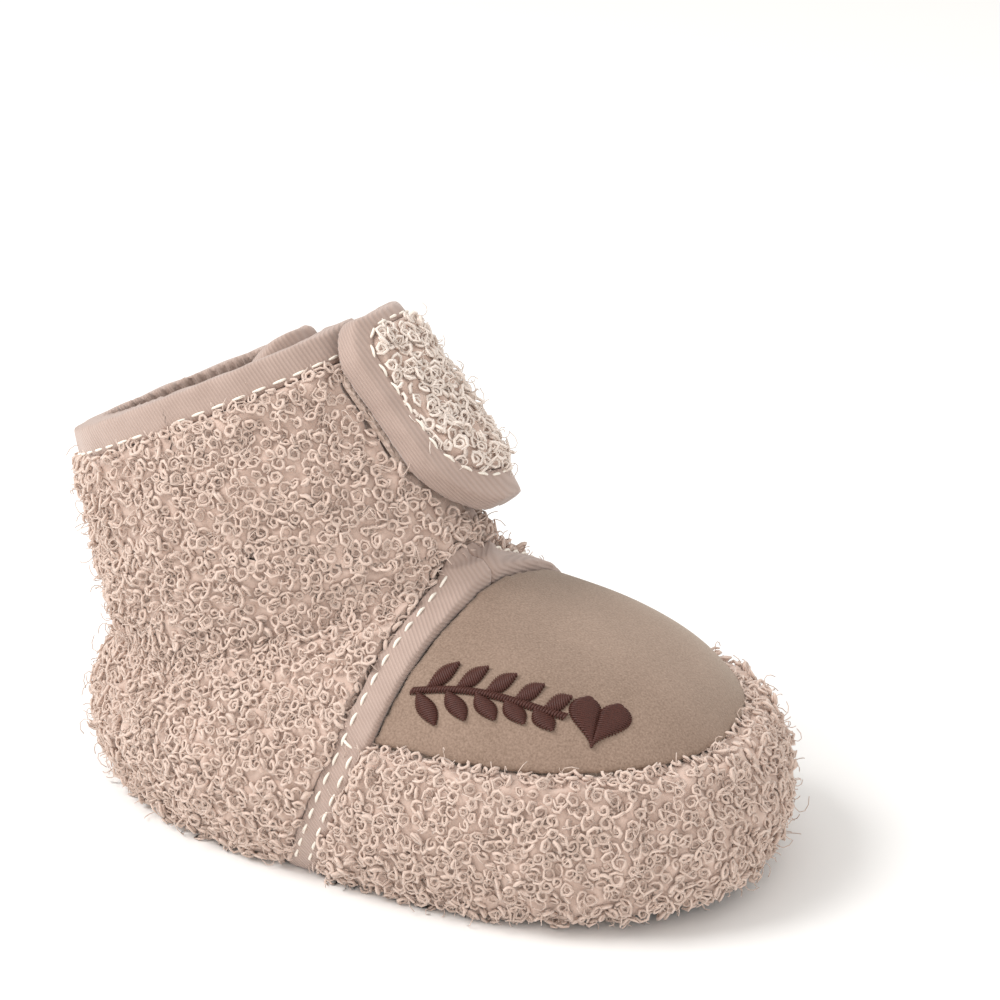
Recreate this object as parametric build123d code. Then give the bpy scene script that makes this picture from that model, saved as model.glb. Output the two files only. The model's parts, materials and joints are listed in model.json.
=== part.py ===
"""A soft baby bootie for the right foot, with a wrap-over hook-and-loop closure flap.

Frame: millimetres, +X to the toe, +Y to the inner side of the foot, +Z up, origin under the middle of the bootie on the
surface that it stands on. The foot is a stack of level outlines. The shaft is a stack of ovals in its own leaning frame,
whose planes lie parallel to the collar. Each cloth layer is the space between two offsets of those two forms.
"""

from build123d import *
import math
import os

# Overall sizes
overall_length = 132.0
foot_width = 73.0
collar_length = 56.5
collar_width = 48.0
collar_front_height = 83.5
collar_slope = 25.5  # degrees that the collar rises towards the toe

# Foot form
wall_height = 26.0  # level of the seam round the toe panel
instep_height = 50.0  # top of the toe panel
instep_x = 14.0
sole_inset = 5.0  # how far the wall is drawn in at the ground
toe_taper = 0.17  # the toe is this share wider than the middle, the heel as much narrower
toe_spring_start = 22.0
toe_spring_rise = 4.0

# Shaft form
ankle_depth = 34.0  # from the collar down to the ankle crease at the heel
ankle_width = 55.0
ankle_back_lean = 6.2  # the shaft is this much deeper at the back of the ankle than at the collar
shaft_front_lean = 10.0  # and this much deeper at the instep

# Cloth layers
pile_thickness = 4.0
lining_thickness = 3.0
panel_recess = 2.4  # the toe panel lies this far below the tips of the pile
binding_recess = 1.2
counter_thickness = 1.2
elastic_width = 3.5
elastic_margin = 0.5  # between the elastic and the binding's lower edge
elastic_thickness = 1.0

# Sole
dot_height = 0.5
dot_radius = 1.5
dot_pitch = 7.0
dot_margin = 3.5
outsole_thickness = 1.2
midsole_thickness = 3.0
footbed_thickness = 2.5

# Bindings
binding_width = 5.5
front_binding_width = 6.0
binding_foot_x = -9.0  # front edge of the front binding at the ground

# Moving panels
hinge_x = 5.0  # in the shaft's frame, from the middle of the collar
panel_gap = 0.5
panel_overlap = 10.0  # how far the under panel passes the middle line
flap_end = 7.5  # how far the flap passes the middle line
flap_bottom = 53.0
flap_binding_width = 4.2
flap_lining_thickness = 1.5
flap_corner_radius = 15.0
flap_top_radius = 9.0
patch_thickness = 0.8
patch_clearance = 0.5
patch_width = 10.5
patch_length = 20.0

# Tongue
tongue_width = 25.0
tongue_rise = 4.0  # above the collar
tongue_clearance = 0.7
tongue_cover = 1.0
tongue_foam = 2.6
tongue_binding_width = 5.0

# Embroidery
thread_height = 0.6
motif_x = 27.6
motif_level = 33.4
motif_edge = 10.2  # how far its middle lies in from the foot's side
heart_width = 9.5
sprig_length = 25.0

wall = pile_thickness + lining_thickness
toe_x = overall_length / 2
heel_x = -overall_length / 2 + 2.0
half_foot = foot_width / 2
slope_angle = math.radians(collar_slope)
spring_reach = toe_x - toe_spring_start
spring_radius = (spring_reach**2 + toe_spring_rise**2) / (2 * toe_spring_rise)
collar_middle_x = -toe_x + collar_length / 2 * math.cos(slope_angle)
collar_middle_z = collar_front_height - collar_length / 2 * math.sin(slope_angle)
shaft_frame = Plane(
    origin=(collar_middle_x, 0, collar_middle_z),
    x_dir=(math.cos(slope_angle), 0, math.sin(slope_angle)),
    z_dir=(-math.sin(slope_angle), 0, math.cos(slope_angle)),
)
sole_top = dot_height + outsole_thickness + midsole_thickness + footbed_thickness
floor_of_foam = dot_height + outsole_thickness
far = 400.0  # larger than the bootie in every direction


def outline(plane, level, back, front, half_width, taper, fullness, lift=0.0):
    """One closed oval at a level of a plane's frame, fuller than an ellipse where fullness is under 1."""
    middle, half = (back + front) / 2, (front - back) / 2
    points = []
    count = 12 if lift else 8
    for step in range(count):
        turn = step * 2 * math.pi / count
        cosine, sine = math.cos(turn), math.sin(turn)
        x = middle + half * math.copysign(abs(cosine) ** fullness, cosine)
        y = half_width * (1 + taper * cosine) * math.copysign(abs(sine) ** fullness, sine)
        if lift:
            across = math.hypot(cosine / half, sine / half_width)
            push = lift * lifted_share(turn) / across
            x, y = x + push * cosine / half, y + push * sine / half_width
        points.append(plane.from_local_coords(Vector(x, y, level)))
    return Wire([Edge.make_spline(points, periodic=True)])


def lifted_share(turn):
    """How much of its lift a wrapping layer has at an angle from the front: none at its root, all over the front."""
    rise_start, rise_end = math.radians(75), math.radians(30)
    angle = turn if turn <= math.pi else turn - 2 * math.pi
    if angle < 0:
        fall_start, fall_end = math.radians(-90), math.radians(-150)
        share = (angle - fall_end) / (fall_start - fall_end)
    else:
        share = (angle - rise_start) / (rise_end - rise_start)
    share = min(1.0, max(0.0, share))
    return share * share * (3 - 2 * share)


def slope_at(levels, values, index):
    """How fast a value changes with the level, from the stations either side."""
    low, high = max(index - 1, 0), min(index + 1, len(levels) - 1)
    return (values[high] - values[low]) / (levels[high] - levels[low])


def foot_stations():
    """Level, back, front and half width of the foot's outer form: the wall to the ground, then the domed toe panel."""
    dome = instep_height - wall_height
    shares = [
        (0.00, toe_x - 57.5, toe_x - 5.0, 1.000),
        (0.32, toe_x - 49.5, toe_x - 13.0, 0.880),
        (0.64, toe_x - 39.0, toe_x - 32.0, 0.640),
        (0.96, toe_x - 28.0, instep_x - 1.0, 0.330),
    ]
    lower = [
        (-0.5 * wall_height, heel_x + 2.5 * sole_inset, toe_x - 2.5 * sole_inset, half_foot - 2.5 * sole_inset),
        (0.0, heel_x + sole_inset, toe_x - sole_inset, half_foot - sole_inset),
        (0.50 * wall_height, heel_x, toe_x, half_foot),
    ]
    upper = [
        (wall_height + share * dome, back - overall_length / 2, front, (half_foot - 2.3) * width)
        for share, back, front, width in shares
    ]
    return lower + upper


def foot_form(inset):
    """The foot's form, drawn in by a cloth's depth measured square to its surface."""
    levels, backs, fronts, halves = zip(*foot_stations())
    wires = []
    for index, level in enumerate(levels):
        front_slope = slope_at(levels, fronts, index)
        drop = inset * max(0.0, -front_slope) / math.hypot(1, front_slope) if index else 0.3 * inset
        moved = [front_slope, -slope_at(levels, backs, index), slope_at(levels, halves, index)]
        front_in, back_in, side_in = (
            max(0.0, inset - drop * max(0.0, -slope) / math.hypot(1, slope)) * math.hypot(1, slope)
            for slope in moved
        )
        wires.append(
            outline(
                Plane.XY,
                level - drop,
                backs[index] + back_in,
                fronts[index] - front_in,
                halves[index] - side_in,
                toe_taper,
                0.86,
            )
        )
    return Solid.make_loft(wires)


def shaft_form(inset, lift=0.0):
    """The leaning shaft from inside the foot to above the collar."""
    half, side = collar_length / 2, collar_width / 2
    side_ankle = ankle_width / 2
    stations = [
        (14.0, -half + 2.2, half - 4.2, side - 0.6),
        (0.0, -half, half, side),
        (-0.5 * ankle_depth, -half - 0.55 * ankle_back_lean, half + 0.45 * shaft_front_lean, side + 2.4),
        (-ankle_depth, -half - ankle_back_lean, half + 0.82 * shaft_front_lean, side_ankle),
        (-ankle_depth - 20.0, -half + 4.4, half + 0.35 * shaft_front_lean, side_ankle - 6.0),
    ]
    levels, backs, fronts, halves = zip(*stations)
    wires = []
    for index, level in enumerate(levels):
        back_in = inset * math.hypot(1, slope_at(levels, backs, index))
        front_in = inset * math.hypot(1, slope_at(levels, fronts, index))
        side_in = inset * math.hypot(1, slope_at(levels, halves, index))
        wires.append(
            outline(
                shaft_frame,
                level + (0 if index else 0.3 * inset),
                backs[index] + back_in,
                fronts[index] - front_in,
                halves[index] - side_in,
                0.0,
                1.0,
                lift,
            )
        )
    return Solid.make_loft(wires)


def ground_rise(x):
    """How far the toe's upward curve lifts the ground line at x."""
    past = max(0.0, x - toe_spring_start)
    return spring_radius - math.sqrt(spring_radius**2 - past**2)


def ground_edges(height):
    """The line of the ground under the bootie, raised by a height: level, then the toe's upward curve."""
    run = spring_reach + 20
    start, middle, end = (
        Vector(toe_spring_start + past, 0, height + ground_rise(toe_spring_start + past))
        for past in (0, run / 2, run)
    )
    return [Edge.make_line((-far, 0, height), start), Edge.make_three_point_arc(start, middle, end)], end


def slab(low, high):
    """Everything between two heights above the ground, following the toe's upward curve."""
    bottom, bottom_end = ground_edges(low)
    top, top_end = ground_edges(high)
    edges = bottom + top + [
        Edge.make_line(bottom_end, top_end),
        Edge.make_line((-far, 0, low), (-far, 0, high)),
    ]
    face = Face(Wire(Wire.combine(edges)[0].edges()))
    return extrude_across(face)


def extrude_across(face):
    """A face in the XZ plane made into a bar right across the bootie."""
    return extrude(face, amount=far, dir=(0, 1, 0), both=True)


def box_between(low, high, plane=Plane.XY):
    """A box between two corners given in a plane's frame."""
    size = [high[i] - low[i] for i in range(3)]
    middle = [(high[i] + low[i]) / 2 for i in range(3)]
    return plane * Pos(*middle) * Box(*size)


def behind_front_edge(setback):
    """Everything behind the curved front edge of the quarters, moved back by a set distance."""
    foot = (binding_foot_x - setback, -10.0)
    middle = (instep_x - 3.5 - setback, wall_height + 2.0)
    top = (instep_x + 1.0 - setback, instep_height + 3.0)
    arc = Edge.make_three_point_arc(*(Vector(x, 0, z) for x, z in (foot, middle, top)))
    start, end = arc.position_at(0), arc.position_at(1)
    corners = [start, (-far, 0, start.Z), (-far, 0, far), (end.X + far * 0.4, 0, far), end]
    sides = [Edge.make_line(a, b) for a, b in zip(corners, corners[1:])]
    return extrude_across(Face(Wire([arc] + sides)))


def only_solids(shape):
    """The solids of a cut, without slivers."""
    return Compound(children=[s for s in shape.solids() if s.volume > 0.2])


# Forms at each cloth depth, and the regions that cut them into pieces

above_ground = slab(0, far / 2)
above_sole = slab(sole_top, far / 2)
below_collar = box_between((-far, -far, -far), (far, far, 0), shaft_frame)
below_binding = box_between((-far, -far, -far), (far, far, -binding_width), shaft_frame)
collar_band = box_between((-far, -far, -binding_width), (far, far, 0), shaft_frame)
near_side = box_between((-far, -far, -far), (far, 0, far))
far_side = box_between((-far, 0, -far), (far, far, far))
above_wall_seam = box_between((-far, -far, wall_height), (far, far, far))
below_wall_seam = box_between((-far, -far, -far), (far, far, wall_height))
opening_region = box_between((hinge_x, -far, -far), (far, far, far), shaft_frame)
opening_region &= box_between((-far, -far, instep_height), (far, far, far))
panel_region = box_between((hinge_x + panel_gap, -far, -far), (far, far, 0), shaft_frame)
panel_region &= box_between((-far, -far, instep_height + panel_gap), (far, far, far))
behind_edge = behind_front_edge(0)
behind_front_binding = behind_front_edge(front_binding_width)
fixed_region = below_collar - opening_region
toe_region = above_ground - behind_edge
quarter_region = (fixed_region & above_ground & behind_front_binding) & below_binding
front_binding_region = (fixed_region & above_ground & behind_edge) - behind_front_binding
front_binding_region &= below_binding


def form(inset):
    """The whole bootie's form at a cloth depth, foot and shaft joined."""
    return foot_form(inset) + shaft_form(inset)


surface = form(0)
binding_surface = form(binding_recess)
panel_surface = form(panel_recess)
under_pile = form(pile_thickness)
cavity = form(wall)
pile_shell = surface - under_pile
binding_shell = binding_surface - under_pile
panel_shell = panel_surface - under_pile
lining_shell = under_pile - cavity
trim_shell = binding_surface - cavity


# Sole

def grip_dots():
    """Printed grip dots in staggered rows on the underside, inside the outsole's edge."""
    field = foot_form(pile_thickness + dot_margin) & slab(0, 1.0)
    layer = slab(0, dot_height)
    bound = field.bounding_box()
    step = dot_pitch / math.sqrt(2)
    columns, rows = int(bound.size.X / step / 2) + 2, int(bound.size.Y / step / 2) + 2
    dots = []
    for column in range(-columns, columns + 1):
        for row in range(-rows, rows + 1):
            if (column + row) % 2:
                continue
            x, y = column * step, row * step
            if not field.is_inside(Vector(x, y, 0.5 + ground_rise(x))):
                continue
            dot = Pos(x, y, ground_rise(x)) * Cylinder(dot_radius, 4 * dot_height)
            dots.append(dot & layer)
    return Compound(children=dots)


sole_form = foot_form(pile_thickness)
outsole = sole_form & slab(dot_height, floor_of_foam)
midsole = sole_form & slab(floor_of_foam, floor_of_foam + midsole_thickness)
footbed = sole_form & slab(floor_of_foam + midsole_thickness, sole_top)

# Foot and quarters

toe_wall = pile_shell & (toe_region & below_wall_seam)
toe_panel = panel_shell & (toe_region & above_wall_seam)
lining_region = fixed_region & above_sole & below_binding
toe_lining = lining_shell & (above_sole - behind_edge)
near_quarter = pile_shell & (quarter_region & near_side)
far_quarter = pile_shell & (quarter_region & far_side)

counter_region = box_between((-far, -far, sole_top + 1.0), (heel_x + 24.0, far, wall_height - 4.0))
counter = (foot_form(pile_thickness) - foot_form(pile_thickness + counter_thickness)) & counter_region
quarter_lining = (lining_shell & (lining_region & behind_edge)) - counter

near_front_binding = binding_shell & (front_binding_region & near_side)
far_front_binding = binding_shell & (front_binding_region & far_side)

elastic_low = elastic_margin - binding_width
elastic_region = box_between((-far, -far, elastic_low), (-2.0, far, elastic_low + elastic_width), shaft_frame)
collar_elastic = (shaft_form(pile_thickness) - shaft_form(pile_thickness + elastic_thickness)) & elastic_region
collar_binding = (trim_shell & (fixed_region & collar_band)) - collar_elastic

# Under panel: the outer side's front, which the flap closes over

under_region = panel_region & box_between((-far, -far, -far), (far, panel_overlap, far))
under_field = under_region & box_between((-far, -far, -far), (far, panel_overlap - binding_width, far))
under_field &= below_binding
under_pile_cloth = pile_shell & under_field
under_lining = lining_shell & under_field
under_binding = trim_shell & (under_region - under_field)

front_slope = math.atan2(shaft_front_lean, ankle_depth + 10.0)
front_face = shaft_frame * Plane(
    origin=(collar_length / 2, 0, 0),
    x_dir=(0, 1, 0),
    z_dir=(math.cos(front_slope), 0, math.sin(front_slope)),
)
patch_middle = -(patch_length / 2 + binding_width + 1.5)
loop_shape = RectangleRounded(patch_width, patch_length, 2.5)


def patch(outer, inner, middle_y):
    """A sewn-on rectangle of tape between two depths of the wrapping layer."""
    bar = extrude(front_face * Pos(middle_y, patch_middle) * loop_shape, amount=30, both=True)
    return (outer - inner) & bar & box_between((0, -far, -far), (far, far, far), shaft_frame)


patch_y = (panel_overlap - binding_width - flap_end) / 2 + 0.3
loop_patch = patch(shaft_form(0), shaft_form(patch_thickness), patch_y)
under_pile_cloth = under_pile_cloth - loop_patch

# Flap: the inner side's front, which wraps over the under panel

stack = 2 * patch_clearance + patch_thickness
flap_lift = pile_thickness + flap_lining_thickness + stack
flap_outer = shaft_form(0, flap_lift)
flap_middle = shaft_form(pile_thickness, flap_lift)
flap_inner = shaft_form(pile_thickness + flap_lining_thickness, flap_lift)
flap_binding_outer = shaft_form(binding_recess, flap_lift)


def flap_bar(trim):
    """The flap's outline seen from the front, trimmed in by a distance, as a bar through the shaft."""
    low = flap_bottom + trim
    left, right = -flap_end + trim, foot_width
    bottom_local = (low - collar_front_height) / math.cos(slope_angle + front_slope)
    top_local = -trim
    tall = top_local - bottom_local
    outline_face = Pos((left + right) / 2, (top_local + bottom_local) / 2) * Rectangle(right - left, tall)
    near_corners = outline_face.vertices().sort_by(Axis.X)[:2].sort_by(Axis.Y)
    rounded = fillet(near_corners[0], flap_corner_radius - trim)
    top_corner = rounded.vertices().sort_by(Axis.Y)[-2:].sort_by(Axis.X)[0]
    return extrude(front_face * fillet(top_corner, flap_top_radius - trim), amount=far / 2, both=True)


flap_reach = panel_region & box_between((hinge_x + 14.0, -far, -far), (far, 1.0, far), shaft_frame)
flap_region = (flap_reach + (panel_region & far_side)) & flap_bar(0)
flap_field = flap_region & flap_bar(flap_binding_width)
flap_cloth = (flap_outer - flap_middle) & flap_field
flap_lining = (flap_middle - flap_inner) & flap_field
flap_binding = (flap_binding_outer - flap_inner) & (flap_region - flap_field)
hook_shell = shaft_form(pile_thickness + flap_lining_thickness + patch_thickness, flap_lift)
hook_patch = patch(flap_inner, hook_shell, patch_y + flap_binding_width)

# Tongue, inside the front of the shaft

tongue_outer_depth = wall + tongue_clearance
tongue_front = shaft_form(tongue_outer_depth)
tongue_middle = shaft_form(tongue_outer_depth + tongue_cover)
tongue_back = shaft_form(tongue_outer_depth + tongue_cover + tongue_foam)


def tongue_bar(trim):
    """The tongue's outline seen from the front, with a rounded top, trimmed in by a distance."""
    tall = ankle_depth + 6.0 + tongue_rise - trim
    wide = tongue_width - 2 * trim
    shape = Pos(0, tongue_rise - trim - tall / 2) * Rectangle(wide, tall)
    rounded = fillet(shape.vertices().sort_by(Axis.Y)[2:], wide * 0.36)
    return extrude(front_face * rounded, amount=60, both=True) & box_between(
        (4.0, -far, -far), (far, far, far), shaft_frame
    )


tongue_shape = tongue_bar(0)
tongue_field = tongue_bar(tongue_binding_width)
tongue_face = (tongue_front - tongue_middle) & tongue_field
tongue_padding = (tongue_middle - tongue_back) & tongue_field
tongue_binding = (tongue_front - tongue_back) & (tongue_shape - tongue_field)

# Embroidery on the toe panel

thread_layer = foot_form(panel_recess - thread_height) - foot_form(panel_recess)
motif_plane = Plane(
    origin=(motif_x, motif_edge - half_foot, motif_level), x_dir=(0.97, 0.24, 0), z_dir=(0.17, -0.69, 0.70)
)


def stitched(shape):
    """A flat motif pressed through the thread's layer on the toe panel."""
    return thread_layer & extrude(motif_plane * shape, amount=14, both=True)


def heart(width):
    """A plain heart, drawn about its middle."""
    points = []
    for step in range(13):
        turn = step * math.pi / 12
        wave = 13 * math.cos(turn) - 5 * math.cos(2 * turn) - 2 * math.cos(3 * turn) - math.cos(4 * turn)
        points.append((width / 32 * 16 * math.sin(turn) ** 3, width / 32 * wave))
    with BuildSketch() as sketch:
        with BuildLine():
            right = Spline(*points)
            mirror(right, about=Plane.YZ)
        make_face()
    return sketch.sketch


def leaf(length, width):
    """A pointed oval from the origin along +X."""
    with BuildSketch() as sketch:
        with BuildLine():
            upper = ThreePointArc((0, 0), (length / 2, width / 2), (length, 0))
            mirror(upper, about=Plane.XZ)
        make_face()
    return sketch.sketch


heart_at = sprig_length / 2 + heart_width / 2 + 0.4
embroidered_heart = stitched(Pos(heart_at, 0) * heart(heart_width))
stem = Rectangle(sprig_length, 1.2)
leaves = [
    Pos(-sprig_length / 2 + 1.0 + pair * sprig_length / 4.6, 0) * Rot(0, 0, side * 48) * leaf(6.2, 3.4)
    for pair in range(4)
    for side in (-1, 1)
]
sprig_shape = stem
for one_leaf in leaves:
    sprig_shape += one_leaf
embroidered_sprig = stitched(sprig_shape)

pieces = {
    "grip_dots": grip_dots(),
    "outsole": outsole,
    "midsole_foam": midsole,
    "footbed": footbed,
    "toe_wall": toe_wall,
    "toe_panel": toe_panel,
    "toe_lining": toe_lining,
    "near_quarter": near_quarter,
    "far_quarter": far_quarter,
    "heel_counter": counter,
    "quarter_lining": quarter_lining,
    "near_front_binding": near_front_binding,
    "far_front_binding": far_front_binding,
    "collar_binding": collar_binding,
    "collar_elastic": collar_elastic,
    "under_panel": under_pile_cloth,
    "under_panel_lining": under_lining,
    "under_panel_binding": under_binding,
    "loop_patch": loop_patch,
    "flap": flap_cloth,
    "flap_lining": flap_lining,
    "flap_binding": flap_binding,
    "hook_patch": hook_patch,
    "tongue_face": tongue_face,
    "tongue_padding": tongue_padding,
    "tongue_binding": tongue_binding,
    "embroidered_sprig": embroidered_sprig,
    "embroidered_heart": embroidered_heart,
}

os.makedirs("parts", exist_ok=True)
for name, piece in pieces.items():
    export_step(only_solids(piece), f"parts/{name}.step")
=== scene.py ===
import json
import math

import bpy
import numpy as np
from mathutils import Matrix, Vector
from mathutils.bvhtree import BVHTree


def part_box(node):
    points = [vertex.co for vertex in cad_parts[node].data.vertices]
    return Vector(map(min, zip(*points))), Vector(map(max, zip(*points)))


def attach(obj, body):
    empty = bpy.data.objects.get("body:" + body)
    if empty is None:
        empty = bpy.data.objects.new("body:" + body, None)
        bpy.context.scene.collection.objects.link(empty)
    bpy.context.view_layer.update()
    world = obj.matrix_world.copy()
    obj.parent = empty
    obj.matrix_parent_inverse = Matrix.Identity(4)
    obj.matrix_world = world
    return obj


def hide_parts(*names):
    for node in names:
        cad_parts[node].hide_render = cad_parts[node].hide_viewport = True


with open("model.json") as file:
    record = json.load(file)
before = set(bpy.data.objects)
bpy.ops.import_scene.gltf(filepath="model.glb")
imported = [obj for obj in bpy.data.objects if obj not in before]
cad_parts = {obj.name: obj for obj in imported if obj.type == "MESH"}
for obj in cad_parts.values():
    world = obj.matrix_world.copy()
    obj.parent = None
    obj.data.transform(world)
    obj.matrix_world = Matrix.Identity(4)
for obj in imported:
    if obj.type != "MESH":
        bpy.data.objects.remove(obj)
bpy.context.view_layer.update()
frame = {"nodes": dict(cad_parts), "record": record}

mm = 0.001
mounts = {mount["name"]: mount for mount in frame["record"]["mounts"]}

# Outsole: a flat piece of dark grey-brown diagonal twill, cut to the foot's outline and sewn to the walls' lower
# edges. It keeps its CAD shape. Its weave is in the finish.


class Fibre:
    """A value or colour that comes out of a finish's nodes. Plain arithmetic on it adds Math nodes."""

    def __init__(self, finish, socket):
        self.finish = finish
        self.socket = socket

    def worked(self, operation, *given):
        return self.finish.node("ShaderNodeMath", {"operation": operation}, dict(enumerate(given)))

    def __add__(self, other):
        return self.worked("ADD", self, other)

    def __radd__(self, other):
        return self.worked("ADD", other, self)

    def __sub__(self, other):
        return self.worked("SUBTRACT", self, other)

    def __rsub__(self, other):
        return self.worked("SUBTRACT", other, self)

    def __mul__(self, other):
        return self.worked("MULTIPLY", self, other)

    def __rmul__(self, other):
        return self.worked("MULTIPLY", other, self)

    def sine(self):
        return self.worked("SINE", self)


class Finish:
    """One material, built up node by node and closed with cloth()."""

    def __init__(self, name):
        self.material = bpy.data.materials.new(name)
        self.material.use_nodes = True
        self.tree = self.material.node_tree
        self.tree.nodes.clear()

    def node(self, kind, settings, sockets, output=0):
        made = self.tree.nodes.new(kind)
        for key, value in settings.items():
            if key == "stops":
                for stop, (place, colour) in zip(made.color_ramp.elements, value):
                    stop.position, stop.color = place, (*colour, 1.0)
            else:
                setattr(made, key, value)
        for key, value in sockets.items():
            if isinstance(value, Fibre):
                self.tree.links.new(value.socket, made.inputs[key])
            elif isinstance(value, tuple) and made.inputs[key].type == "RGBA":
                made.inputs[key].default_value = (*value, 1.0)
            else:
                made.inputs[key].default_value = value
        return Fibre(self, made.outputs[output])

    def place(self):
        """Where a point of the piece lies, in metres in the piece's own frame."""
        return self.node("ShaderNodeTexCoord", {}, {}, "Object")

    def along(self, *direction):
        """How far a point lies along a direction, in millimetres."""
        scaled = tuple(1000 * part for part in direction)
        return self.node("ShaderNodeVectorMath", {"operation": "DOT_PRODUCT"}, {0: self.place(), 1: scaled}, "Value")

    def mottle(self, size, detail=2.0):
        """Cloudy noise from 0 to 1 whose patches are about size millimetres across."""
        sockets = {"Vector": self.place(), "Scale": 1000 / size, "Detail": detail}
        return self.node("ShaderNodeTexNoise", {}, sockets, "Fac")

    def between(self, share, low, high):
        """A colour from low to high by a share from 0 to 1."""
        settings = {"stops": [(0.0, low), (1.0, high)]}
        return self.node("ShaderNodeValToRGB", settings, {"Fac": share}, "Color")

    def cloth(self, colour, height, depth, roughness=0.9, sheen=0.3, sheen_colour=(1, 1, 1), sheen_roughness=0.5,
              gloss=0.2):
        """Closes the finish: a colour, a relief of depth millimetres, and the soft light on fibre tips."""
        bump = self.node("ShaderNodeBump", {}, {"Height": height, "Distance": depth * mm, "Strength": 1.0})
        sockets = {
            "Base Color": colour,
            "Normal": bump,
            "Roughness": roughness,
            "Sheen Weight": sheen,
            "Sheen Tint": sheen_colour,
            "Sheen Roughness": sheen_roughness,
            "Specular IOR Level": gloss,
        }
        shader = self.node("ShaderNodeBsdfPrincipled", {}, sockets)
        out = self.tree.nodes.new("ShaderNodeOutputMaterial")
        self.tree.links.new(shader.socket, out.inputs["Surface"])
        return self.material


def outsole_twill():
    """Dark twill with a fine diagonal rib about a millimetre apart and a lighter worn thread here and there."""
    finish = Finish("outsole_twill")
    rib_pitch = 1.1
    turn = 2 * math.pi / rib_pitch
    rib = finish.along(0.8 * turn, 0.6 * turn, 0.0).sine() * 0.5 + 0.5
    thread = finish.along(0.6 * turn * 2.3, -0.8 * turn * 2.3, 0.0).sine() * 0.5 + 0.5
    weave = rib * 0.75 + thread * 0.25
    shade = weave * 0.6 + finish.mottle(2.0) * 0.4
    colour = finish.between(shade, (0.062, 0.046, 0.038), (0.165, 0.128, 0.106))
    return finish.cloth(colour, weave, 0.25, roughness=0.85, sheen=0.15, gloss=0.25)


def dress(piece, material):
    """Gives a piece one finish all over."""
    piece.data.materials.clear()
    piece.data.materials.append(material)


dress(frame["nodes"]["outsole"], outsole_twill())

# Grip dots: round dots of clear-grey rubber, printed on the outsole in staggered rows, smooth and slightly raised.


def dot_print():
    """Smooth greyish print, a little lighter and glossier than the twill that it sits on."""
    finish = Finish("dot_print")
    colour = finish.between(finish.mottle(3.0), (0.175, 0.140, 0.120), (0.225, 0.185, 0.162))
    return finish.cloth(colour, finish.mottle(0.6), 0.03, roughness=0.45, sheen=0.0, gloss=0.5)


dress(frame["nodes"]["grip_dots"], dot_print())

# Midsole and heel counter: a sheet of soft foam over the outsole, and a stiffened felt cup round the heel. Both are
# sewn in between cloth layers and don't show, so they keep their CAD shapes.


def felted(name, low, high):
    """Plain soft filling: foam or felt with a fine grain."""
    finish = Finish(name)
    grain = finish.mottle(0.5, 4.0)
    return finish.cloth(finish.between(grain, low, high), grain, 0.15)


dress(frame["nodes"]["midsole_foam"], felted("cream_foam", (0.68, 0.62, 0.54), (0.82, 0.77, 0.70)))
dress(frame["nodes"]["heel_counter"], felted("grey_felt", (0.52, 0.48, 0.44), (0.66, 0.62, 0.57)))
dress(frame["nodes"]["collar_elastic"], felted("woven_elastic", (0.66, 0.62, 0.58), (0.80, 0.77, 0.73)))

# Footbed and linings: cream plush with a very short dense pile, glued over the foam and sewn to the back of the outer
# cloths. The pile softens every edge, so each one is remade from its flat solid as one rounded sheet.


def waves(points, size, seed):
    """Smooth uneven swelling from about -1 to 1 over points in metres, its swells about size across."""
    dice = np.random.default_rng(seed)
    total = np.zeros(len(points))
    for _ in range(14):
        direction = dice.normal(size=3)
        direction *= 2 * math.pi / (size * np.linalg.norm(direction)) * dice.uniform(0.6, 1.2)
        total += np.sin(points @ direction + dice.uniform(0, 2 * math.pi))
    return total / 5


def corners_of(mesh):
    flat = np.zeros(len(mesh.vertices) * 3)
    mesh.vertices.foreach_get("co", flat)
    return flat.reshape(-1, 3)


def normals_of(mesh):
    flat = np.zeros(len(mesh.vertices) * 3)
    mesh.vertex_normals.foreach_get("vector", flat)
    return flat.reshape(-1, 3)


def move_corners(mesh, corners):
    mesh.vertices.foreach_set("co", corners.ravel())
    mesh.update()


def soft_piece(name, nodes, grain, passes):
    """One closed soft piece in the place of CAD nodes, with its faces grain across and its edges rounded off."""
    corners, faces = [], []
    for node in nodes:
        start = len(corners)
        mesh = frame["nodes"][node].data
        corners += [tuple(v.co) for v in mesh.vertices]
        faces += [[start + i for i in polygon.vertices] for polygon in mesh.polygons]
    rough = bpy.data.meshes.new(name)
    rough.from_pydata(corners, [], faces)
    piece = bpy.data.objects.new(name, rough)
    bpy.context.scene.collection.objects.link(piece)
    remesh = piece.modifiers.new("grain", "REMESH")
    remesh.mode = "VOXEL"
    remesh.voxel_size = grain
    relax = piece.modifiers.new("relax", "SMOOTH")
    relax.factor = 0.5
    relax.iterations = passes
    bpy.context.view_layer.update()
    ready = piece.evaluated_get(bpy.context.evaluated_depsgraph_get())
    mesh = bpy.data.meshes.new_from_object(ready)
    piece.modifiers.clear()
    piece.data = mesh
    mesh.name = name
    mesh.shade_smooth()
    bpy.data.meshes.remove(rough)
    return piece


def plush(name, low, high):
    """Short plush: soft cream with a fine nap that catches the light."""
    finish = Finish(name)
    nap = finish.mottle(0.9, 4.0)
    colour = finish.between(nap * 0.6 + finish.mottle(6.0) * 0.4, low, high)
    return finish.cloth(colour, nap, 0.5, roughness=1.0, sheen=0.5, sheen_colour=(1.0, 0.93, 0.86))


lining_plush = plush("cream_plush", (0.52, 0.40, 0.32), (0.78, 0.66, 0.56))


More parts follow.
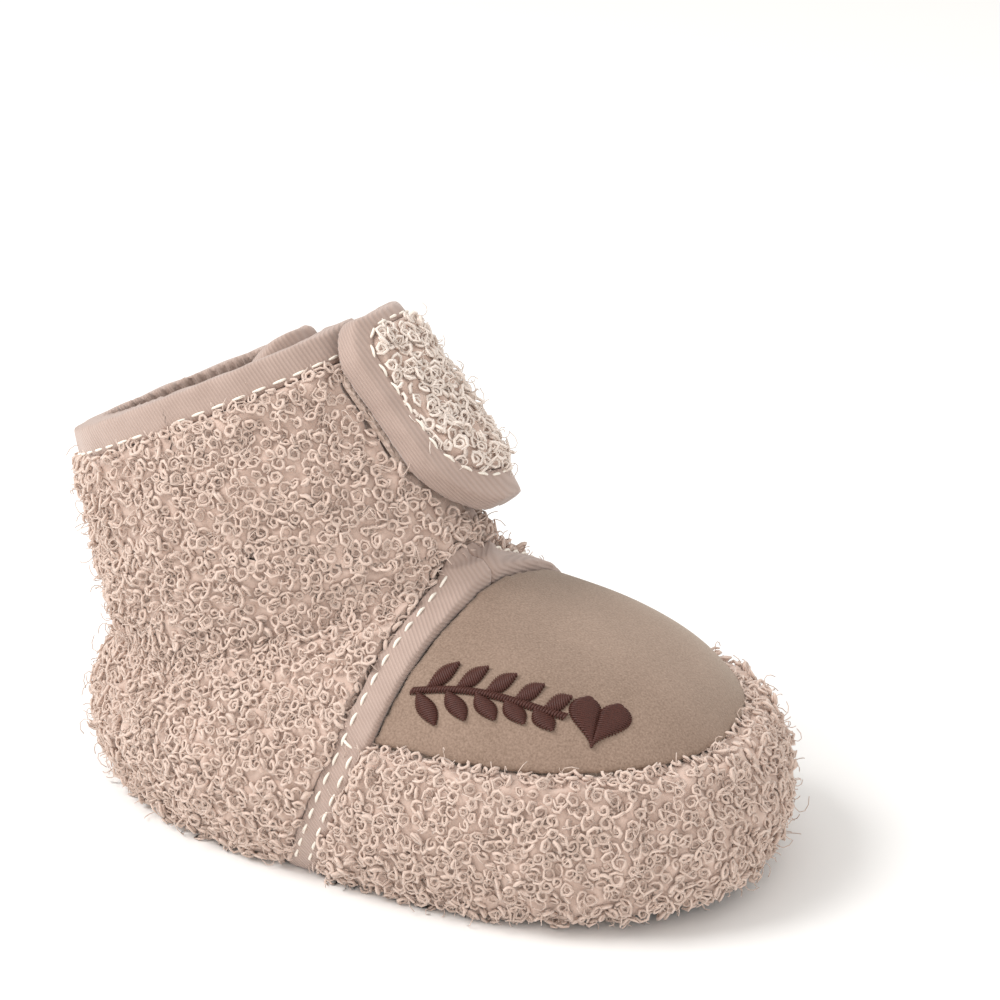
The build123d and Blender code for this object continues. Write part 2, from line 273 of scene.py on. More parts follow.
def lining(name, nodes, body, seed):
    """A plush lining or sock in the place of its CAD solids."""
    piece = soft_piece(name, nodes, 1.0 * mm, 4)
    corners = corners_of(piece.data)
    swell = waves(corners, 7 * mm, seed) * 0.12 * mm + waves(corners, 2.5 * mm, seed + 1) * 0.10 * mm
    move_corners(piece.data, corners + normals_of(piece.data) * swell[:, None])
    dress(piece, lining_plush)
    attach(piece, body)
    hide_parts(*nodes)


lining("footbed_plush", ["footbed"], "boot", 11)
lining("toe_lining_plush", ["toe_lining"], "boot", 12)
lining("quarter_lining_plush", ["quarter_lining"], "boot", 13)
lining("under_panel_lining_plush", ["under_panel_lining"], "under_panel_body", 14)
lining("flap_lining_plush", ["flap_lining"], "flap_body", 15)

# Curly pile cloth: the toe wall, the two quarters, the under panel and the flap are cut from a pinkish-beige fleece
# whose yarn lies in small ringlets. Each is a lumpy padded backing covered with ringlets and a few stray fibres.

shaft_middle = np.array(mounts["foot_opening"]["pos_m"])
shaft_up = np.array(mounts["foot_opening"]["axis"])
shaft_ahead = np.array([shaft_up[2], 0.0, -shaft_up[0]])
ankle_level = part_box("toe_wall")[1].z + 3 * mm
panel_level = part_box("under_panel")[0].z - 0.25 * mm
panel_hinge = 5.25 * mm
pile_sink = 0.9 * mm
clump = 3.0 * mm
floor_gap = 0.2 * mm
ringlet_spacing = 1.40 * mm
yarn_radius = 0.31 * mm


def outward(points):
    """The direction away from the middle of the foot or of the shaft, at points on the bootie."""
    along_shaft = (points - shaft_middle) @ shaft_up
    shaft_centre = shaft_middle + along_shaft[:, None] * shaft_up
    foot_centre = np.stack(
        [np.clip(points[:, 0], -38 * mm, 34 * mm), np.zeros(len(points)), np.full(len(points), 15 * mm)], axis=1
    )
    high = (points[:, 2] > ankle_level) & (points[:, 0] < 18 * mm)
    away = points - np.where(high[:, None], shaft_centre, foot_centre)
    return away / np.linalg.norm(away, axis=1)[:, None]


def unit(vectors):
    return vectors / np.maximum(np.linalg.norm(vectors, axis=-1, keepdims=True), 1e-12)


def tubes(lines, radii, upright, sides):
    """Round tubes along many short lines at once: lines (n, k, 3), radii (n, k), upright (n, 3) not along them."""
    count, stations = lines.shape[:2]
    heading = unit(np.gradient(lines, axis=1))
    first = unit(np.cross(heading, upright[:, None, :]))
    second = np.cross(first, heading)
    turn = np.arange(sides) * 2 * math.pi / sides
    ring = first[:, :, None] * np.cos(turn)[:, None] + second[:, :, None] * np.sin(turn)[:, None]
    corners = lines[:, :, None] + ring * radii[:, :, None, None]
    index = np.arange(count * stations * sides).reshape(count, stations, sides)
    here, ahead = index[:, :-1], index[:, 1:]
    quads = np.stack([here, np.roll(here, -1, 2), np.roll(ahead, -1, 2), ahead], axis=-1).reshape(-1, 4)
    caps = np.concatenate([index[:, 0, ::-1], index[:, -1]]).tolist()
    return corners.reshape(-1, 3), quads.tolist() + caps


def ringlets(spots, normals, seed):
    """Small curls of yarn, two to three millimetres across, that lie nearly flat and wind in to a sunken middle."""
    dice = np.random.default_rng(seed)
    count, stations = len(spots), 11
    side = unit(np.cross(normals, dice.normal(size=(count, 3))))
    lean = dice.uniform(0.05, 0.85, count)[:, None]
    axis = np.cos(lean) * normals + np.sin(lean) * side
    across = unit(np.cross(normals, side))
    over = np.cross(axis, across)
    radius = dice.uniform(0.75, 1.30, count) * mm
    share = np.linspace(0, 1, stations)
    turns = dice.uniform(1.2, 2.0, count)
    angle = dice.uniform(0, 2 * math.pi, count)[:, None] + 2 * math.pi * turns[:, None] * share
    reach = radius[:, None] * (1.1 - 0.72 * share) * (1 + 0.10 * np.sin(3 * angle))
    rise = (0.15 + 0.45 * np.sin(lean[:, 0])) * radius + dice.uniform(-0.1, 0.4, count) * mm
    middle = spots + normals * rise[:, None]
    lines = (
        middle[:, None]
        + reach[..., None] * (np.cos(angle)[..., None] * across[:, None] + np.sin(angle)[..., None] * over[:, None])
        + axis[:, None] * ((0.3 - 0.6 * share) * mm)[None, :, None]
    )
    thick = yarn_radius * dice.uniform(0.8, 1.2, count)[:, None] * (0.45 + 0.55 * np.sin(math.pi * share) ** 0.4)
    return tubes(lines, thick, axis, 4)


def stray_fibres(spots, normals, seed):
    """Thin loose fibres that stand out of the pile and soften its outline."""
    dice = np.random.default_rng(seed)
    count, stations = len(spots), 6
    side = unit(np.cross(normals, dice.normal(size=(count, 3))))
    share = np.linspace(0, 1, stations)
    reach = dice.uniform(1.2, 2.6, count)[:, None] * mm
    bend = dice.uniform(1.5, 4.2, count)[:, None] * share
    lines = (
        spots[:, None]
        + (reach * np.sin(bend) * 0.8)[..., None] * side[:, None]
        + (0.5 * mm + reach * (0.55 - 0.45 * np.cos(bend) + 0.2 * share))[..., None] * normals[:, None]
    )
    thick = np.full((count, stations), 0.085 * mm)
    return tubes(lines, thick, np.cross(normals, side), 3)


def scattered(mesh, spacing, seed, allowed):
    """Places on a mesh's outer side, at least a spacing apart, with their normals."""
    dice = np.random.default_rng(seed)
    mesh.calc_loop_triangles()
    triples = np.zeros(len(mesh.loop_triangles) * 3, dtype=int)
    mesh.loop_triangles.foreach_get("vertices", triples)
    triples = triples.reshape(-1, 3)
    corners = corners_of(mesh)
    a, b, c = (corners[triples[:, i]] for i in range(3))
    cross = np.cross(b - a, c - a)
    area = np.linalg.norm(cross, axis=1) / 2
    centre = (a + b + c) / 3
    normal = unit(cross)
    area = np.where((np.sum(normal * outward(centre), axis=1) > 0.30) & allowed(centre, normal), area, 0.0)
    tries = int(area.sum() / spacing**2 * 5)
    chosen = dice.choice(len(area), size=tries, p=area / area.sum())
    r, s = np.sqrt(dice.random(tries)), dice.random(tries)
    points = (1 - r)[:, None] * a[chosen] + (r * (1 - s))[:, None] * b[chosen] + (r * s)[:, None] * c[chosen]
    kept, cells = [], {}
    for index, (point, cell) in enumerate(zip(points, np.floor(points / spacing).astype(int))):
        near = [
            other
            for i in (-1, 0, 1)
            for j in (-1, 0, 1)
            for k in (-1, 0, 1)
            for other in cells.get((cell[0] + i, cell[1] + j, cell[2] + k), ())
        ]
        if all(np.dot(point - points[o], point - points[o]) > spacing**2 for o in near):
            cells.setdefault(tuple(cell), []).append(index)
            kept.append(index)
    return points[kept], normal[chosen[kept]]


def add_parts(piece, parts):
    """Joins further meshes, given as corners, faces and finish number, onto a piece, and keeps it off the floor."""
    mesh = piece.data
    corners = [corners_of(mesh)]
    faces = [list(polygon.vertices) for polygon in mesh.polygons]
    finish = [0] * len(faces)
    start = len(corners[0])
    for more_corners, more_faces, number in parts:
        corners.append(more_corners)
        faces += [[start + i for i in face] for face in more_faces]
        finish += [number] * len(more_faces)
        start += len(more_corners)
    corners = np.concatenate(corners)
    corners[:, 2] = np.maximum(corners[:, 2], floor_gap)
    whole = bpy.data.meshes.new(mesh.name)
    whole.from_pydata(corners.tolist(), [], faces)
    whole.polygons.foreach_set("material_index", finish)
    whole.shade_smooth()
    piece.data = whole
    bpy.data.meshes.remove(mesh)


def fleece_yarn(name, low, high):
    """Soft woolly yarn: pinkish beige that drifts a little in tone from clump to clump, bright on its fibre tips."""
    finish = Finish(name)
    drift = finish.mottle(9.0, 1.0) * 0.45 + finish.mottle(1.6, 2.0) * 0.55
    fuzz = finish.mottle(0.22, 3.0)
    colour = finish.between(drift, low, high)
    return finish.cloth(colour, fuzz, 0.12, roughness=1.0, sheen=0.55, sheen_colour=(1.0, 0.92, 0.86))


# The backing is the pile's own yarn in a darker copy: painted shade in the gaps between the ringlets, laid over the
# backing's real tone.
shaded_fleece_backing = fleece_yarn("shaded_fleece_backing", (0.50, 0.365, 0.30), (0.70, 0.54, 0.46))
fleece_pile = fleece_yarn("fleece_pile", (0.56, 0.41, 0.335), (0.78, 0.63, 0.545))
fleece_pale = fleece_yarn("fleece_pale", (0.74, 0.61, 0.53), (0.96, 0.87, 0.79))


def anywhere(points, normals):
    return np.ones(len(points), dtype=bool)


def on_panels(points):
    """True above and ahead of the line where the quarters end and the moving panels begin."""
    return (points[:, 2] > panel_level) & ((points - shaft_middle) @ shaft_ahead > panel_hinge)


def on_boot(points):
    """True on the still side of that line."""
    return ~on_panels(points)


def only(piece, kept):
    """Keeps the faces of a piece whose middles are chosen."""
    mesh = piece.data
    corners = corners_of(mesh)
    faces = [list(polygon.vertices) for polygon in mesh.polygons]
    chosen = kept(np.array([corners[face].mean(0) for face in faces]))
    faces = [face for face, keep in zip(faces, chosen) if keep]
    used = sorted({corner for face in faces for corner in face})
    place = {corner: index for index, corner in enumerate(used)}
    part = bpy.data.meshes.new(mesh.name)
    part.from_pydata(corners[used].tolist(), [], [[place[corner] for corner in face] for face in faces])
    part.shade_smooth()
    piece.data = part
    bpy.data.meshes.remove(mesh)


def fleece(name, nodes, body, seed, yarn, allowed=anywhere, cut_with=(), kept=None):
    """A padded fleece piece: a lumpy backing drawn in under the pile, then its ringlets and stray fibres."""
    piece = soft_piece(name, [*nodes, *cut_with], 0.75 * mm, 6)
    if kept:
        only(piece, kept)
    corners, normals = corners_of(piece.data), normals_of(piece.data)
    facing = np.clip(np.sum(normals * outward(corners), axis=1) * 2, 0, 1)
    lumps = waves(corners, clump, seed) * 0.5 * mm + waves(corners, 9 * mm, seed + 1) * 0.3 * mm
    move_corners(piece.data, corners + normals * (facing * (lumps - pile_sink))[:, None])
    spots, ups = scattered(piece.data, ringlet_spacing, seed + 2, allowed)
    curls = ringlets(spots, ups, seed + 3)
    loose = stray_fibres(spots[::3], ups[::3], seed + 4)
    add_parts(piece, [(*curls, 1), (*loose, 1)])
    # The sunken backing takes the darker copy of the yarn, which is painted shade between the curls; the ringlets and
    # stray fibres take the pile yarn.
    piece.data.materials.append(shaded_fleece_backing)
    piece.data.materials.append(yarn)
    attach(piece, body)
    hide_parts(*nodes)


def surface_tree(*nodes):
    """A search tree over CAD nodes' surfaces."""
    corners, faces = [], []
    for node in nodes:
        start = len(corners)
        mesh = frame["nodes"][node].data
        corners += [v.co.copy() for v in mesh.vertices]
        faces += [[start + i for i in polygon.vertices] for polygon in mesh.polygons]
    return BVHTree.FromPolygons(corners, faces)


flap_tree = surface_tree("flap", "flap_binding", "flap_lining", "hook_patch")


def clear_of_flap(points, normals):
    """True where nothing of the closed flap lies over the place."""
    return np.array(
        [flap_tree.ray_cast(Vector(p), Vector(n), 9 * mm)[0] is None for p, n in zip(points, normals)]
    )


fleece("toe_wall_fleece", ["toe_wall"], "boot", 100, fleece_pile)
fleece("near_quarter_fleece", ["near_quarter"], "boot", 200, fleece_pile, cut_with=["under_panel"],
       kept=on_boot)
fleece("far_quarter_fleece", ["far_quarter"], "boot", 300, fleece_pile, cut_with=["flap"],
       kept=on_boot)
fleece("under_panel_fleece", ["under_panel"], "under_panel_body", 400, fleece_pile, clear_of_flap,
       cut_with=["near_quarter"], kept=on_panels)
fleece("flap_fleece", ["flap"], "flap_body", 500, fleece_pale, cut_with=["far_quarter"], kept=on_panels)

# Toe panel: one piece of light tan suede, stretched over the top of the foot and sewn into the pile all round, with a
# thin dark line where it goes under its edges.


def tan_suede():
    """Suede with a very fine pale speckle, slightly darker where the nap is brushed flat."""
    finish = Finish("tan_suede")
    speckle = finish.mottle(0.35, 3.0)
    brushed = finish.mottle(14.0, 2.0)
    shade = speckle * 0.75 + brushed * 0.25
    colour = finish.between((shade - 0.3) * 2.5, (0.19, 0.127, 0.092), (0.33, 0.232, 0.178))
    return finish.cloth(colour, speckle, 0.12, roughness=0.95, sheen=0.35, sheen_colour=(1.0, 0.90, 0.78))


toe_panel = soft_piece("toe_panel_suede", ["toe_panel"], 0.8 * mm, 6)
panel_corners = corners_of(toe_panel.data)
panel_swell = waves(panel_corners, 16 * mm, 21) * 0.12 * mm
move_corners(toe_panel.data, panel_corners + normals_of(toe_panel.data) * panel_swell[:, None])
dress(toe_panel, tan_suede())
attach(toe_panel, "boot")
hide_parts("toe_panel")

# Bindings: strips of beige-pink twill tape folded over the raw edges and sewn down with one row of pale running
# stitches. They finish the front edges of the quarters, the collar, the under panel, the flap and the tongue.


def twill_tape():
    """Fine twill: a close diagonal rib, a little uneven, with a soft satin light."""
    finish = Finish("twill_tape")
    turn = 2 * math.pi / 0.55
    rib = finish.along(0.70 * turn, 0.35 * turn, 0.62 * turn).sine() * 0.5 + 0.5
    uneven = finish.mottle(5.0, 3.0)
    colour = finish.between(rib * 0.35 + uneven * 0.65, (0.33, 0.235, 0.195), (0.49, 0.37, 0.315))
    return finish.cloth(colour, rib * 0.7 + finish.mottle(0.3) * 0.3, 0.12, roughness=0.75, sheen=0.4,
                        sheen_colour=(1.0, 0.93, 0.90))


tape = twill_tape()


def binding(name, nodes, body, shaping=None, grain=0.55, cut_with=(), kept=None):
    """A folded tape in the place of its CAD solids, with its edges rounded and a slight hand-sewn waver."""
    piece = soft_piece(name, [*nodes, *cut_with], grain * mm, 9)
    if kept:
        only(piece, kept)
    corners, normals = corners_of(piece.data), normals_of(piece.data)
    corners = corners + normals * (waves(corners, 6 * mm, len(name)) * 0.12 * mm)[:, None]
    if shaping:
        corners = shaping(corners, normals)
    move_corners(piece.data, corners)
    dress(piece, tape)
    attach(piece, body)
    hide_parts(*nodes)
    return piece


def gathered(corners, normals):
    """The elastic inside the back of the collar draws the tape's inner face into small upright folds."""
    away = corners - shaft_middle
    ahead, across = away @ shaft_ahead, away[:, 1]
    angle = np.arctan2(across, -ahead)
    inner = np.clip(-np.sum(normals * outward(corners), axis=1) * 1.6, 0, 1)
    fold = 0.5 * mm * np.sin(angle * 62 + 2 * np.sin(angle * 5)) * np.clip((2.1 - np.abs(angle)) / 0.5, 0, 1)
    return corners + normals * (inner * fold)[:, None]


near_strip = binding("near_front_tape", ["near_front_binding"], "boot")
far_strip = binding("far_front_tape", ["far_front_binding"], "boot")
collar_tape = binding("collar_tape", ["collar_binding"], "boot", gathered,
                      cut_with=["under_panel_binding", "flap_binding"], kept=on_boot)
under_tape = binding("under_panel_tape", ["under_panel_binding"], "under_panel_body",
                     cut_with=["collar_binding"], kept=on_panels)
flap_tape = binding("flap_tape", ["flap_binding"], "flap_body", cut_with=["collar_binding"], kept=on_panels)

# Tongue: a padded tab of twill behind the opening, bound along its rounded edge, sewn to the toe panel's back edge.

tongue_pad = soft_piece("tongue_pad", ["tongue_face", "tongue_padding"], 0.7 * mm, 6)
dress(tongue_pad, tape)
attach(tongue_pad, "tongue_body")
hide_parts("tongue_face", "tongue_padding")
tongue_tape = binding("tongue_tape", ["tongue_binding"], "tongue_body")

# Hook and loop patches: two rounded rectangles of fastening tape, the loops on the under panel and the hooks inside
# the flap.


def fastening(name, size, depth, low, high):
    """Fastening tape: dense small bristles or loops."""
    finish = Finish(name)
    bristle = finish.node("ShaderNodeTexVoronoi", {}, {"Vector": finish.place(), "Scale": 1000 / size}, "Distance")
    return finish.cloth(finish.between(bristle, high, low), 1 - bristle, depth, roughness=0.7, sheen=0.2)


dress(frame["nodes"]["loop_patch"], fastening("loop_tape", 0.9, 0.4, (0.50, 0.38, 0.31), (0.72, 0.58, 0.50)))
dress(frame["nodes"]["hook_patch"], fastening("hook_tape", 0.7, 0.5, (0.46, 0.36, 0.30), (0.68, 0.56, 0.49)))

# Running stitches: pale cream thread, one row along each tape's sewn edge, each stitch about two and a half
# millimetres long and pulled down into the cloth at both ends.


def stitch_thread():
    finish = Finish("cream_thread")
    twist = finish.mottle(0.4, 2.0)
    return finish.cloth(finish.between(twist, (0.78, 0.70, 0.60), (0.95, 0.89, 0.80)), twist, 0.05, roughness=0.6,
                        sheen=0.2, gloss=0.35)


cream_thread = stitch_thread()
stitch_length = 2.5 * mm
stitch_gap = 1.1 * mm


def tree_of(piece):
    return BVHTree.FromPolygons([v.co for v in piece.data.vertices], [p.vertices for p in piece.data.polygons])


def landed(tree, starts, towards, reach=60 * mm):
    """Where rays from starts meet a piece, with the normals there; rays that miss are left out."""
    found = []
    for start, direction in zip(starts, towards):
        hit, normal, _, _ = tree.ray_cast(Vector(start), Vector(direction), reach)
        if hit is not None:
            found.append((np.array(hit), np.array(normal)))
    return np.array([f[0] for f in found]), np.array([f[1] for f in found])


def stitch_row(name, piece, body, starts, towards, thickness=0.27):
    """Running stitches along the line where rays meet a piece."""
    line, normals = landed(tree_of(piece), starts, towards)
    step = np.linalg.norm(np.diff(line, axis=0), axis=1)
    whole = np.concatenate([step < 3 * mm, [False]])
    run = np.concatenate([[0], np.cumsum(step)])
    places = np.arange(1.0 * mm, run[-1] - stitch_length, stitch_length + stitch_gap)
    share = np.linspace(0, 1, 7)
    lines, uprights = [], []
    for place in places:
        along = place + share * stitch_length
        near = min(int(np.searchsorted(run, place)), len(whole) - 1)
        if not whole[near]:
            continue
        points = np.stack([np.interp(along, run, line[:, i]) for i in range(3)], axis=1)
        upright = unit(np.array([np.interp(along, run, normals[:, i]) for i in range(3)]).T)
        lines.append(points + upright * (np.sin(math.pi * share) * 0.42 - 0.20)[:, None] * mm)
        uprights.append(np.cross(upright[3], points[-1] - points[0]) / stitch_length)
    lines, uprights = np.array(lines), np.array(uprights)
    thick = np.full(lines.shape[:2], thickness * mm) * (0.6 + 0.4 * np.sin(math.pi * share))
    corners, faces = tubes(lines, thick, uprights, 6)
    mesh = bpy.data.meshes.new(name)
    mesh.from_pydata(corners.tolist(), [], faces)
    mesh.shade_smooth()
    row = bpy.data.objects.new(name, mesh)
    bpy.context.scene.collection.objects.link(row)
    dress(row, cream_thread)
    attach(row, body)


def round_shaft(depth, first, last, count=240):
    """Rays towards the shaft's middle at a depth below the collar's edge, from one angle to another, 0 at the toe."""
    angles = np.radians(np.linspace(first, last, count))
    away = np.cos(angles)[:, None] * shaft_ahead + np.sin(angles)[:, None] * np.array([0.0, 1.0, 0.0])
    starts = shaft_middle - depth * shaft_up + away * 60 * mm
    return starts, -away


collar_stitch_depth = 4.4 * mm
stitch_row("collar_stitches", collar_tape, "boot", *round_shaft(collar_stitch_depth, 84, 276))
stitch_row("under_panel_stitches", under_tape, "under_panel_body", *round_shaft(collar_stitch_depth, -84, 10))

strip_curve = np.array([[-9, -10], [10.5, 28], [15, 53]]) * mm
strip_levels = (2.5 * mm, 48.0 * mm)
lower_levels = (2.5 * mm, 25.0 * mm)
strip_back_row = 4.4 * mm
strip_front_row = 1.7 * mm


def front_edge(levels):
    """How far ahead the front edge of a front tape lies at each level: an arc through three points."""
    rows = 2 * (strip_curve[1:] - strip_curve[0])
    sums = np.sum(strip_curve[1:] ** 2, axis=1) - np.sum(strip_curve[0] ** 2)
    centre = np.linalg.solve(rows, sums)
    radius = np.linalg.norm(strip_curve[0] - centre)
    return centre[0] + np.sqrt(radius**2 - (levels - centre[1]) ** 2)


def beside_strip(setback, side, ends, count=120):
    """Rays from one side onto a front tape, a setback behind its front edge."""
    levels = np.linspace(*ends, count)
    starts = np.stack([front_edge(levels) - setback, np.full(count, side * 60 * mm), levels], axis=1)
    return starts, np.tile([0.0, -side, 0.0], (count, 1))


for side_name, strip, side in (("near", near_strip, -1), ("far", far_strip, 1)):
    stitch_row(f"{side_name}_strip_stitches", strip, "boot", *beside_strip(strip_back_row, side, strip_levels))
    stitch_row(f"{side_name}_strip_lower_stitches", strip, "boot", *beside_strip(strip_front_row, side, lower_levels))

cross_level, cross_drop = 26 * mm, 1.2 * mm
cross_share = np.linspace(0, 1, 20)
cross_starts = np.stack(
    [
        front_edge(np.full(20, cross_level)) - (5.3 - 4.4 * cross_share) * mm,
        np.full(20, -60 * mm),
        cross_level + cross_drop * (1 - 2 * cross_share),
    ],
    axis=1,
)
stitch_row("near_strip_cross_stitch", near_strip, "boot", cross_starts, np.tile([0.0, 1.0, 0.0], (20, 1)))

front_lean, lean_depth = 10.0, 44.0
collar_half_length = 28.25 * mm
shaft_slope = math.atan2(front_lean, lean_depth)
face_out = math.cos(shaft_slope) * shaft_ahead + math.sin(shaft_slope) * shaft_up
face_up = math.cos(shaft_slope) * shaft_up - math.sin(shaft_slope) * shaft_ahead
face_middle = shaft_middle + collar_half_length * shaft_ahead


def round_corner(middle, radius, first, last, count=40):
    """Points on an arc in the plane of the shaft's front."""
    angles = np.radians(np.linspace(first, last, count))
    return middle + radius * np.stack([np.cos(angles), np.sin(angles)], axis=1)


def from_the_front(edge):
    """Rays square onto the shaft's front from an outline drawn in its plane."""
    starts = face_middle + edge[:, :1] * np.array([0.0, 1.0, 0.0]) + edge[:, 1:] * face_up + 40 * mm * face_out
    return starts, np.tile(-face_out, (len(starts), 1))


def straight(from_across, to_across, from_up, to_up, count=60):
    """Points on a straight line in the plane of the shaft's front."""
    return np.stack([np.linspace(from_across, to_across, count), np.linspace(from_up, to_up, count)], axis=1)


flap_trim = 3.4 * mm
flap_root_y = 24 * mm
along_per_level = 1.27
flap_end_y = -7.5 * mm + flap_trim
flap_low = -38.9 * mm + along_per_level * flap_trim
flap_high = -flap_trim
low_radius, high_radius = 15 * mm - flap_trim, 9 * mm - flap_trim
flap_edge = np.concatenate(
    [
        straight(flap_root_y, flap_end_y + low_radius, flap_low, flap_low),
        round_corner(np.array([flap_end_y + low_radius, flap_low + low_radius]), low_radius, 270, 180),
        round_corner(np.array([flap_end_y + high_radius, flap_high - high_radius]), high_radius, 180, 90),
        straight(flap_end_y + high_radius, flap_root_y, flap_high, flap_high),
    ]
)
stitch_row("flap_stitches", flap_tape, "flap_body", *from_the_front(flap_edge))

tongue_trim = 4.1 * mm
tongue_side, tongue_high = 12.5 * mm - tongue_trim, 4 * mm - tongue_trim
tongue_radius = 0.72 * tongue_side
tongue_low = -28 * mm
tongue_edge = np.concatenate(
    [
        straight(-tongue_side, -tongue_side, tongue_low, tongue_high - tongue_radius),
        round_corner(np.array([tongue_radius - tongue_side, tongue_high - tongue_radius]), tongue_radius, 180, 90),
        round_corner(np.array([tongue_side - tongue_radius, tongue_high - tongue_radius]), tongue_radius, 90, 0),
        straight(tongue_side, tongue_side, tongue_high - tongue_radius, tongue_low),
    ]
)
stitch_row("tongue_stitches", tongue_tape, "tongue_body", *from_the_front(tongue_edge))

# Embroidery: a leafy sprig and a heart in dark reddish-brown satin stitch on the toe panel's outer slope. Each shape
# is filled with close threads laid side by side across it.


def satin_thread():
    finish = Finish("brown_satin")
    twist = finish.mottle(0.5, 2.0)
    return finish.cloth(finish.between(twist, (0.034, 0.007, 0.004), (0.080, 0.020, 0.012)), twist, 0.04,
                        roughness=0.5, sheen=0.08, sheen_colour=(1.0, 0.6, 0.5), gloss=0.35)


brown_satin = satin_thread()
panel_tree = tree_of(toe_panel)
satin_spacing = 0.36 * mm


def onto_panel(flat):
    """Lifts points drawn on the motif's own flat plane, in metres, onto the toe panel."""
    starts = motif_origin + flat[..., 0:1] * motif_along + flat[..., 1:2] * motif_up + motif_out * 25 * mm
    shape = starts.shape
    lifted, normals = [], []
    for start in starts.reshape(-1, 3):
        hit, normal, _, _ = panel_tree.ray_cast(Vector(start), Vector(-motif_out), 60 * mm)
        lifted.append(np.array(hit) if hit is not None else start - motif_out * 25 * mm)
        normals.append(np.array(normal) if hit is not None else motif_out)
    return np.array(lifted).reshape(shape), np.array(normals).reshape(shape)


def satin(name, nodes, stretches):
    """Satin stitch: one raised thread for each stretch, given by its two ends on the motif's plane."""
    share = np.linspace(0, 1, 7)
    flat = stretches[:, None, 0] * (1 - share)[:, None] + stretches[:, None, 1] * share[:, None]
    points, normals = onto_panel(flat)
    raised = (0.10 + 0.42 * np.sin(math.pi * share) ** 0.5) * mm
    lines = points + normals * raised[None, :, None]
    across = unit(np.cross(lines[:, -1] - lines[:, 0], normals[:, 3]))
    thick = np.full(lines.shape[:2], 0.24 * mm) * (0.6 + 0.4 * np.sin(math.pi * share))
    corners, faces = tubes(lines, thick, across, 6)
    mesh = bpy.data.meshes.new(name)
    mesh.from_pydata(corners.tolist(), [], faces)
    mesh.shade_smooth()
    piece = bpy.data.objects.new(name, mesh)
    bpy.context.scene.collection.objects.link(piece)
    dress(piece, brown_satin)
    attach(piece, "boot")
    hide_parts(*nodes)


def leaf_threads(root, heading, length, width):
    """Slanted threads that fill one pointed leaf."""
    count = int(length / satin_spacing)
    share = (np.arange(count) + 0.5) / count
    half = width / 2 * np.sin(math.pi * share) ** 0.8
    along = np.array([math.cos(heading), math.sin(heading)])
    across = np.array([-along[1], along[0]])
    slant = 0.35 * width * along
    middle = root + share[:, None] * length * along
    low = middle - half[:, None] * across - slant * (half / (width / 2))[:, None] * 0.5
    high = middle + half[:, None] * across + slant * (half / (width / 2))[:, None] * 0.5
    return np.stack([low, high], axis=1)


sprig_box = [np.array(corner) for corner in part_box("embroidered_sprig")]
heart_box = [np.array(corner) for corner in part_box("embroidered_heart")]
sprig_middle = (sprig_box[0] + sprig_box[1]) / 2
heart_middle = (heart_box[0] + heart_box[1]) / 2
motif_out = unit(np.array([0.17, -0.69, 0.70]))
motif_along = unit(heart_middle - sprig_middle - motif_out * np.dot(heart_middle - sprig_middle, motif_out))
motif_up = np.cross(motif_out, motif_along)
motif_origin = sprig_middle + 2.2 * mm * motif_up
sprig_length = 25 * mm
heart_width = 9.5 * mm

threads = []
stem_share = np.linspace(0, 1, int(sprig_length / 0.45 / mm))
stem_x = (stem_share - 0.5) * sprig_length
stem_y = 0.9 * mm * np.sin(stem_share * 4.2)
stem_half = 0.62 * mm
threads.append(
    np.stack(
        [
            np.stack([stem_x - 0.5 * stem_half, stem_y - stem_half], axis=1),
            np.stack([stem_x + 0.5 * stem_half, stem_y + stem_half], axis=1),
        ],
        axis=1,
    )
)
for pair in range(5):
    for side in (-1, 1):
        foot = (pair + 0.35 + 0.15 * side) / 5.2
        root = np.array([(foot - 0.5) * sprig_length, 0.9 * mm * math.sin(foot * 4.2) + side * 0.4 * mm])
        threads.append(leaf_threads(root, side * math.radians(52 - 3 * pair), (6.4 - 0.45 * pair) * mm, 3.0 * mm))
satin("sprig_satin", ["embroidered_sprig"], np.concatenate(threads))

heart_at = np.dot(heart_middle - motif_origin, motif_along)
turn = np.linspace(0, math.pi, 200)
heart_x = 0.5 * np.sin(turn) ** 3
heart_y = (13 * np.cos(turn) - 5 * np.cos(2 * turn) - 2 * np.cos(3 * turn) - np.cos(4 * turn)) / 32
crown = int(np.argmax(heart_y))
heart_threads = []
for row in np.arange(heart_y.min() + 0.02, heart_y.max() - 0.01, satin_spacing / heart_width):
    outer = np.interp(row, heart_y[crown:][::-1], heart_x[crown:][::-1])
    inner = np.interp(row, heart_y[: crown + 1], heart_x[: crown + 1]) if row > heart_y[0] else 0.0
    for side in (-1, 1):
        heart_threads.append([[heart_at + side * (inner - 0.01) * heart_width, row * heart_width],
                              [heart_at + side * outer * heart_width, row * heart_width]])
satin("heart_satin", ["embroidered_heart"], np.array(heart_threads))

# The floor and soft studio light: a plain pale surface, a soft light overhead at the heel's outer side, a larger and
# weaker one at the toe's outer side, and a pale surround.

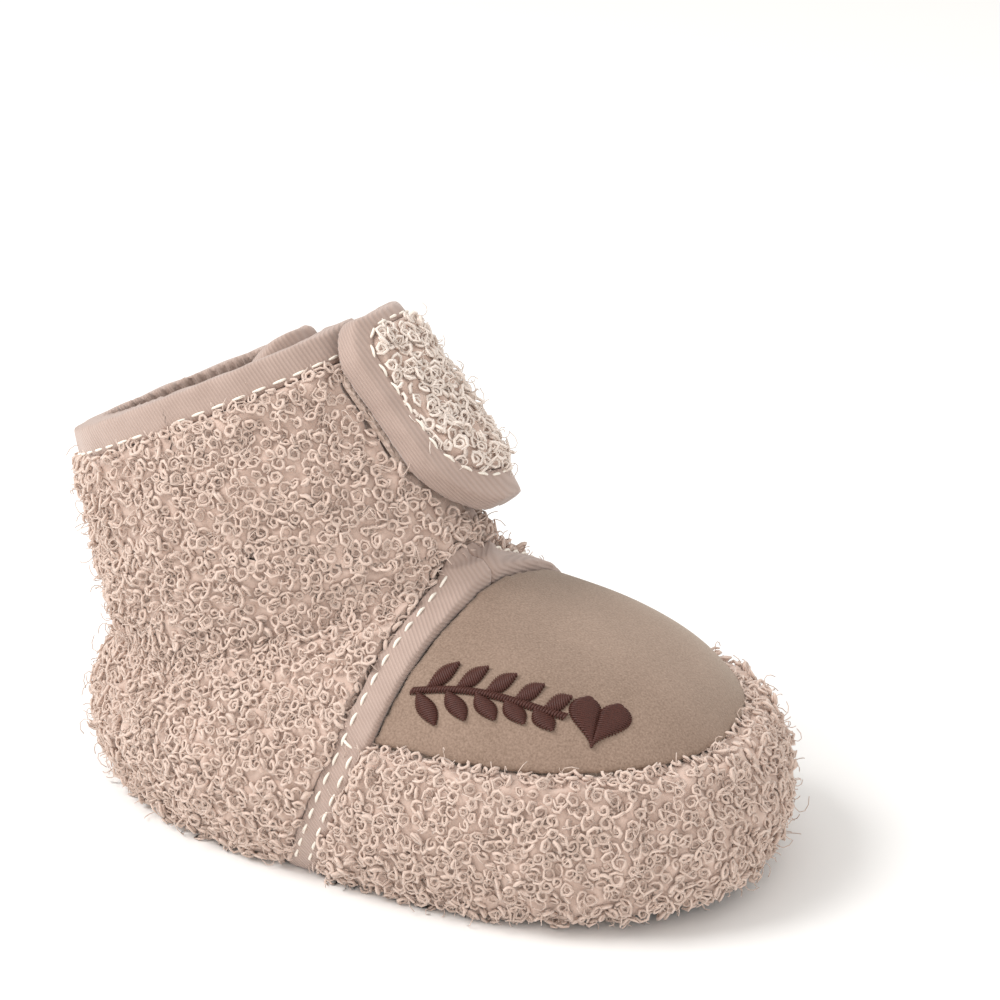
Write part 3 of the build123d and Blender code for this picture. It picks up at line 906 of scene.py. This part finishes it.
floor_mesh = bpy.data.meshes.new("floor")
floor_reach = 4.0
floor_mesh.from_pydata(
    [(-floor_reach, -floor_reach, 0), (floor_reach, -floor_reach, 0), (floor_reach, floor_reach, 0),
     (-floor_reach, floor_reach, 0)], [], [(0, 1, 2, 3)]
)
floor = bpy.data.objects.new("floor", floor_mesh)
bpy.context.scene.collection.objects.link(floor)
paper = Finish("pale_paper")
dress(floor, paper.cloth(paper.between(paper.mottle(400.0), (0.90, 0.89, 0.875), (0.92, 0.91, 0.895)),
                         paper.mottle(40.0), 0.0, roughness=1.0, sheen=0.0, gloss=0.0))

world = bpy.data.worlds.new("studio")
world.use_nodes = True
world.node_tree.nodes["Background"].inputs["Color"].default_value = (1.0, 0.99, 0.975, 1.0)
world.node_tree.nodes["Background"].inputs["Strength"].default_value = 0.85
bpy.context.scene.world = world


def soft_light(name, place, size, watts):
    """A square soft light, aimed at the middle of the bootie."""
    lamp = bpy.data.lights.new(name, "AREA")
    lamp.size = size
    lamp.energy = watts
    light = bpy.data.objects.new(name, lamp)
    light.location = place
    light.rotation_euler = (Vector(place) - Vector((0, 0, 0.04))).to_track_quat("Z", "Y").to_euler()
    bpy.context.scene.collection.objects.link(light)


soft_light("key", (-0.55, -0.45, 0.85), 0.55, 9.0)
soft_light("fill", (0.75, -0.75, 0.45), 0.8, 3.0)
bpy.context.scene.view_settings.view_transform = "Standard"

# The camera: a long lens from the outer side of the toe, a little above, with the bootie left of the middle.

azimuth, elevation = math.radians(30), math.radians(20)
camera_distance = 0.60
view_width = 0.170
right = Vector((math.cos(azimuth), math.sin(azimuth), 0))
level = math.cos(elevation)
back = Vector((math.sin(azimuth) * level, -math.cos(azimuth) * level, math.sin(elevation)))
up = back.cross(right)
aim = right * 13.3 * mm + up * 52.4 * mm
lens = bpy.data.cameras.new("camera")
lens.sensor_width = 36
lens.lens = 36 * camera_distance / view_width
lens.clip_start = 0.01
camera = bpy.data.objects.new("camera", lens)
camera.location = aim + back * camera_distance
camera.rotation_euler = back.to_track_quat("Z", "Y").to_euler()
bpy.context.scene.collection.objects.link(camera)
bpy.context.scene.camera = camera
